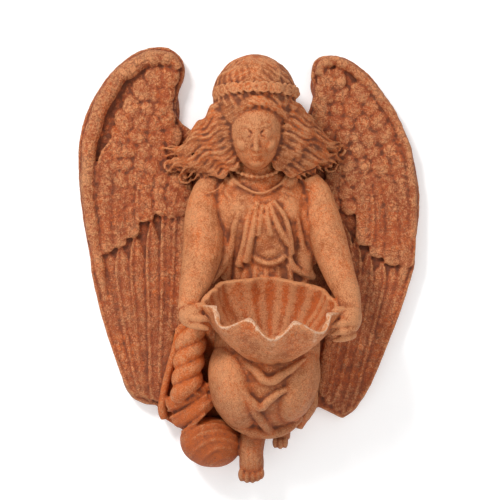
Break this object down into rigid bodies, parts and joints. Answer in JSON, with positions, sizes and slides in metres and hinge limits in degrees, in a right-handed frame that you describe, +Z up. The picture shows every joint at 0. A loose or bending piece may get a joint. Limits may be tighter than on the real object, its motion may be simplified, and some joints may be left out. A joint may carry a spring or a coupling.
{
  "type": "cast iron wall angel with shell bowl",
  "caption": "Wall-hung cast iron angel with spread wings, bowed head and hands that hold a fluted shell bowl; flat back.",
  "frame": {"origin": "on the flat back, on the figure's centre line, behind the chest", "axes": "+Z up, +Y out of the flat back into the wall, so the figure faces -Y"},
  "size_m": [0.2744, 0.1134, 0.3474],
  "materials": {
    "rusted_iron": "orange-brown rust patina over a rough sand-cast skin, paler and smoother on worn edges"
  },
  "bodies": {
    "root": {"angel_casting": "rusted_iron"}
  },
  "joints": []
}
